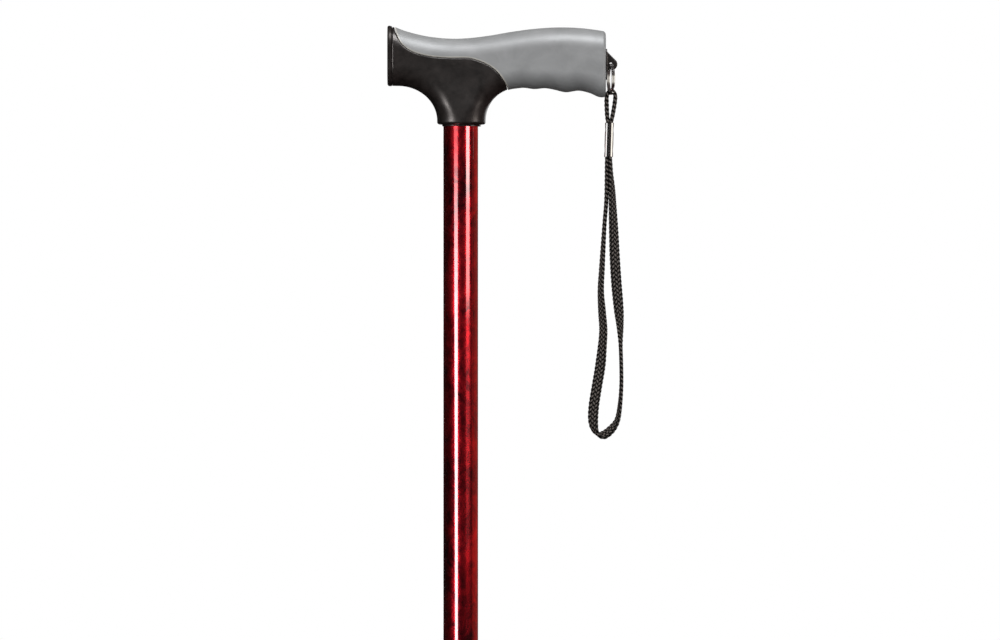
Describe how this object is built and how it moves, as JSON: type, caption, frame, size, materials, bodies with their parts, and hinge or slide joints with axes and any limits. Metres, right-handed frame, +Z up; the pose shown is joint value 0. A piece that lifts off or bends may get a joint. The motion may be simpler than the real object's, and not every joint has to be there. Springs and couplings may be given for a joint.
{
  "type": "walking cane",
  "caption": "Height-adjustable derby-handle walking cane with a soft grip, marbled tube, lock collar, rubber tip and braided wrist strap.",
  "frame": {"origin": "centre of the rubber tip's foot, on the ground", "axes": "+Z up along the shaft, +X towards the rear end of the grip where the wrist strap hangs, -Y is the side with the adjustment holes"},
  "size_m": [0.1507, 0.038, 0.9145],
  "materials": {
    "handle_black": "fine satin moulded texture",
    "grip_grey": "soft-touch satin",
    "tube_marbled": "red and black marbled lacquer under a gloss clear coat",
    "collar_black": "satin",
    "clamp_white": "smooth acetal",
    "tube_plain": "satin anodised",
    "steel": "plated",
    "tip_rubber": "matt",
    "chromed": "polished",
    "braid": "flat braided cord"
  },
  "bodies": {
    "lower_shaft": {"lower_tube": "tube_plain", "rubber_tip": "tip_rubber", "tip_washer": "steel", "button_spring": "steel"},
    "upper_shaft": {"handle_core": "handle_black", "soft_grip": "grip_grey", "nose_cap": "handle_black", "strap_lug": "handle_black", "upper_tube": "tube_marbled", "threaded_bush": "collar_black"},
    "clamp_ring": {"clamp_ring": "clamp_white"},
    "lock_collar": {"lock_collar": "collar_black"},
    "snap_button": {"snap_button": "steel"},
    "split_ring": {"split_ring": "chromed"},
    "wrist_strap": {"wrist_strap": "braid", "crimp_sleeve": "chromed"}
  },
  "joints": [
    {"name": "height_adjust", "type": "slide", "parent": "upper_shaft", "child": "lower_shaft", "axis": [0, 0, -1], "range_m": [-0.1524, 0.0762]},
    {"name": "button_travel", "type": "slide", "parent": "lower_shaft", "child": "snap_button", "axis": [0, -1, 0], "range_m": [0, 0.0038], "stiffness_N_per_m": 400, "springref_m": 0.0055},
    {"name": "clamp_ring_slide", "type": "slide", "parent": "upper_shaft", "child": "clamp_ring", "axis": [0, 0, -1], "range_m": [0, 0.0045]},
    {"name": "collar_turn", "type": "hinge", "parent": "clamp_ring", "child": "lock_collar", "pos_m": [0, 0, 0.2517], "axis": [0, 0, -1], "range_deg": [0, 540]},
    {"name": "ring_swing", "type": "hinge", "parent": "upper_shaft", "child": "split_ring", "pos_m": [0.0958, 0, 0.8901], "axis": [0, -1, 0], "range_deg": [0, 150]},
    {"name": "strap_sway", "type": "hinge", "parent": "split_ring", "child": "wrist_strap", "pos_m": [0.0958, 0, 0.8806], "axis": [1, 0, 0], "range_deg": [-60, 60]}
  ],
  "couplings": [
    {"joint": "collar_turn", "follows": "clamp_ring_slide", "rad_per_m": 2094.4}
  ]
}
